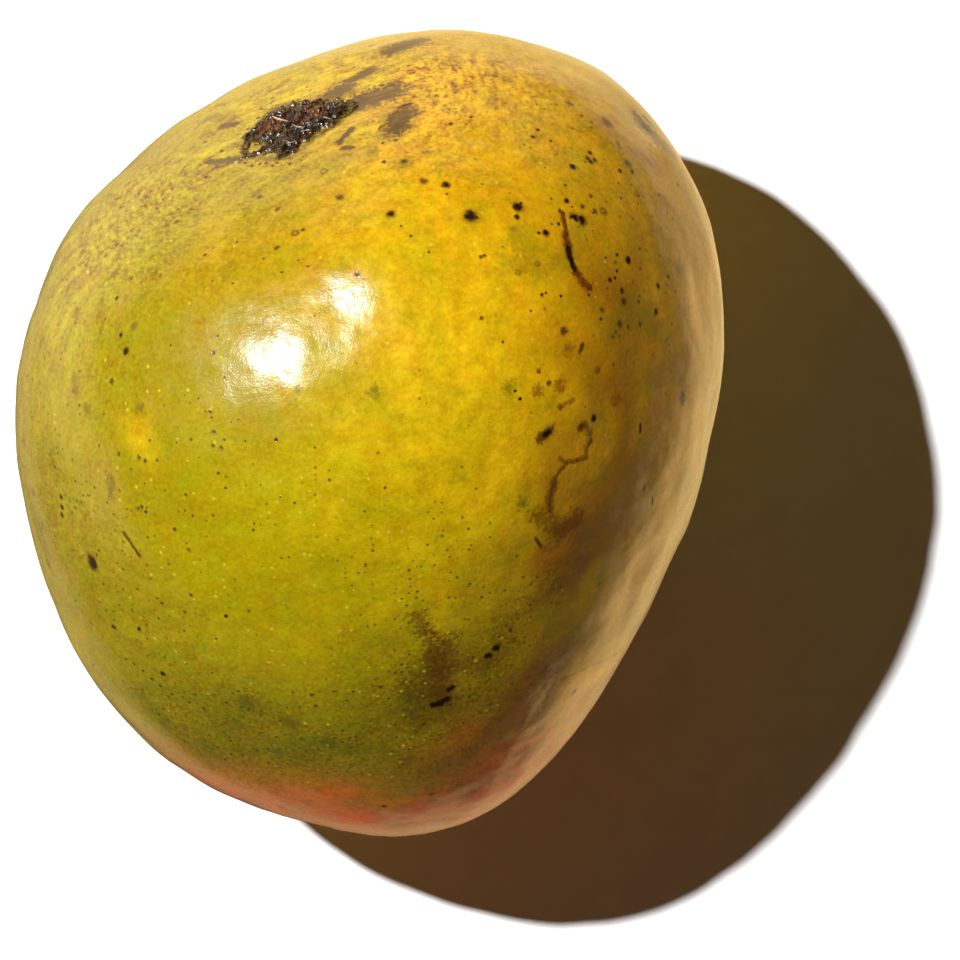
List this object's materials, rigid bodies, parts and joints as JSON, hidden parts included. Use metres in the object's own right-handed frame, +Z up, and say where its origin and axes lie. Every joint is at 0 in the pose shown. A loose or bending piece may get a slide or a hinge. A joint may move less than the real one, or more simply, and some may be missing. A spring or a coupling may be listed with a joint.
{
  "type": "mango",
  "caption": "Plump ripe mango lying on its lower cheek with the stem end raised: a solid fruit with a crusted stem scar, resting on a small flat spot.",
  "frame": {"origin": "centre of the fruit's footprint box, at the level of the flat spot that it rests on", "axes": "+Z up; +Y along the horizontal run of the fruit towards its raised stem end; +X towards the ventral side"},
  "size_m": [0.0916, 0.1054, 0.0912],
  "materials": {
    "skin": "satin, waxy fruit skin: golden yellow and yellow-green with dark specks and a red blush at the apex end"
  },
  "bodies": {
    "root": {"mango": "skin"}
  },
  "joints": []
}
